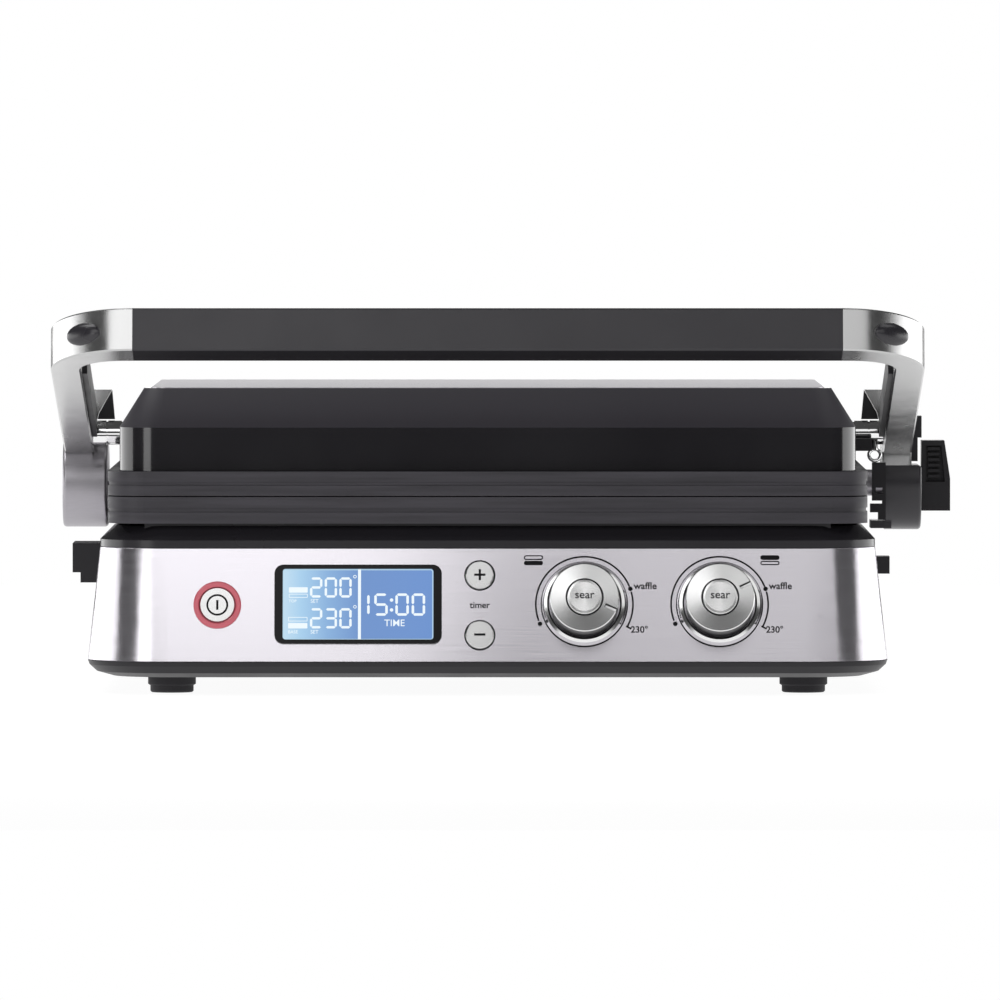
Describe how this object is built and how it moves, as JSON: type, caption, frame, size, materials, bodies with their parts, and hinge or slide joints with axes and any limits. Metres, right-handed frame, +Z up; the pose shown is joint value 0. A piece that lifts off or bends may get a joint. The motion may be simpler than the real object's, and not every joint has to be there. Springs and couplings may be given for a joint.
{
  "type": "panini press",
  "caption": "Stainless-fronted two-plate contact grill with a bow handle, floating lid that opens flat, display, keys, two dials and a pull-out grease tray.",
  "frame": {"origin": "middle of the whole object's footprint, on the surface it stands on", "axes": "+X to the right seen from the front, +Y to the rear, +Z up"},
  "size_m": [0.4032, 0.321, 0.1688],
  "materials": {
    "black_rubber": "matt black rubber",
    "black_plastic": "fine-grained black moulding",
    "gloss_black": "glossy black enamel-like shell",
    "brushed_steel": "horizontally brushed stainless sheet",
    "polished_metal": "bright satin-polished cast handle metal",
    "chrome": "bright chrome",
    "hub_metal": "satin grey die-cast hub",
    "plate_coating": "cast aluminium with dark non-stick coating",
    "handle_plastic": "satin charcoal grip",
    "element_steel": "tubular heater sheath",
    "reflector_alu": "bright aluminised sheet",
    "insulation": "white ceramic-fibre pad",
    "circuit_board": "green circuit board",
    "display_glass": "clear display window",
    "display_blue": "backlit blue display",
    "ring_red": "translucent red ring",
    "knob_metal": "turned satin metal",
    "inner_steel": "plain steel"
  },
  "bodies": {
    "base": {"base_screws": "inner_steel", "bottom_cover": "black_plastic", "carriage_guides": "black_plastic", "control_board": "circuit_board", "cord_gland": "black_plastic", "deck": "black_plastic", "dial_rings": "knob_metal", "display_bezel": "black_plastic", "display_glass": "display_glass", "display_module": "display_blue", "encoders": "black_plastic", "fascia": "brushed_steel", "feet": "black_rubber", "key_switches": "black_plastic", "lower_element": "element_steel", "lower_plate": "plate_coating", "lower_reflector": "reflector_alu", "lower_thermostat": "insulation", "power_board": "circuit_board", "power_ring": "ring_red", "rear_housing": "black_plastic", "rear_panel": "black_plastic", "terminal_block": "black_plastic"},
    "hinge_carriage": {"carriage_blocks": "inner_steel", "carriage_rod": "inner_steel"},
    "handle_arms": {"handle_grip": "handle_plastic", "handle_core": "inner_steel", "arm_left": "polished_metal", "arm_right": "polished_metal", "hub_left": "hub_metal", "hub_right": "black_plastic", "hinge_shafts": "inner_steel", "lid_pivots": "chrome", "stop_leaves": "polished_metal", "stop_bumpers": "black_rubber", "arm_liners": "black_plastic", "rest_pads": "gloss_black", "latch_link": "chrome", "latch_strap": "black_plastic"},
    "lid": {"lid_shell": "gloss_black", "lid_top_plate": "brushed_steel", "lid_frame": "black_plastic", "pivot_bushes": "inner_steel", "upper_insulation": "insulation", "upper_reflector": "reflector_alu", "upper_element": "element_steel", "upper_plate": "plate_coating", "lid_bracket": "black_plastic"},
    "tray": {"grease_tray": "black_plastic"},
    "lower_knob": {"knob_lower": "knob_metal"},
    "upper_knob": {"knob_upper": "knob_metal"},
    "lower_sear": {"sear_button_lower": "knob_metal"},
    "upper_sear": {"sear_button_upper": "knob_metal"},
    "power_key": {"power_button": "knob_metal"},
    "plus_key": {"plus_button": "knob_metal"},
    "minus_key": {"minus_button": "knob_metal"},
    "left_release": {"release_left": "black_plastic"},
    "right_release": {"release_right": "black_plastic"},
    "side_lever": {"release_lever": "black_plastic"},
    "lock_lever": {"height_lock": "black_plastic"}
  },
  "joints": [
    {"name": "hinge_rise", "type": "slide", "parent": "base", "child": "hinge_carriage", "axis": [0, 0, 1], "range_m": [0, 0.02]},
    {"name": "lid_opening", "type": "hinge", "parent": "hinge_carriage", "child": "handle_arms", "pos_m": [-0.0086, 0.1146, 0.0862], "axis": [-1, 0, 0], "range_deg": [0, 180]},
    {"name": "lid_float", "type": "hinge", "parent": "handle_arms", "child": "lid", "pos_m": [-0.0086, 0.0926, 0.1094], "axis": [-1, 0, 0], "range_deg": [0, 2.5]},
    {"name": "tray_pull", "type": "slide", "parent": "base", "child": "tray", "axis": [0, 1, 0], "range_m": [0, 0.1]},
    {"name": "lower_knob_turn", "type": "hinge", "parent": "base", "child": "lower_knob", "pos_m": [0.0336, -0.14161, 0.0397], "axis": [0, -0.9746, 0.224], "range_deg": [-5, 226]},
    {"name": "upper_knob_turn", "type": "hinge", "parent": "base", "child": "upper_knob", "pos_m": [0.0926, -0.14161, 0.0397], "axis": [0, -0.9746, 0.224], "range_deg": [-53, 178]},
    {"name": "lower_sear_push", "type": "slide", "parent": "lower_knob", "child": "lower_sear", "axis": [0, 0.9746, -0.224], "range_m": [0, 0.0015], "stiffness_N_per_m": 600, "springref_m": -0.0008},
    {"name": "upper_sear_push", "type": "slide", "parent": "upper_knob", "child": "upper_sear", "axis": [0, 0.9746, -0.224], "range_m": [0, 0.0015], "stiffness_N_per_m": 600, "springref_m": -0.0008},
    {"name": "power_push", "type": "slide", "parent": "base", "child": "power_key", "axis": [0, 0.9746, -0.224], "range_m": [0, 0.0012], "stiffness_N_per_m": 600, "springref_m": -0.0008},
    {"name": "plus_push", "type": "slide", "parent": "base", "child": "plus_key", "axis": [0, 0.9746, -0.224], "range_m": [0, 0.0012], "stiffness_N_per_m": 600, "springref_m": -0.0008},
    {"name": "minus_push", "type": "slide", "parent": "base", "child": "minus_key", "axis": [0, 0.9746, -0.224], "range_m": [0, 0.0012], "stiffness_N_per_m": 600, "springref_m": -0.0008},
    {"name": "left_release_push", "type": "slide", "parent": "base", "child": "left_release", "axis": [1, 0, 0], "range_m": [0, 0.003], "stiffness_N_per_m": 900, "springref_m": -0.0008},
    {"name": "right_release_push", "type": "slide", "parent": "base", "child": "right_release", "axis": [-1, 0, 0], "range_m": [0, 0.003], "stiffness_N_per_m": 900, "springref_m": -0.0008},
    {"name": "side_lever_tilt", "type": "hinge", "parent": "handle_arms", "child": "side_lever", "pos_m": [0.1886, 0.1276, 0.079], "axis": [-1, 0, 0], "range_deg": [0, 20]},
    {"name": "lock_lever_tilt", "type": "hinge", "parent": "handle_arms", "child": "lock_lever", "pos_m": [0.1844, 0.1146, 0.1005], "axis": [-1, 0, 0], "range_deg": [0, 25]}
  ]
}
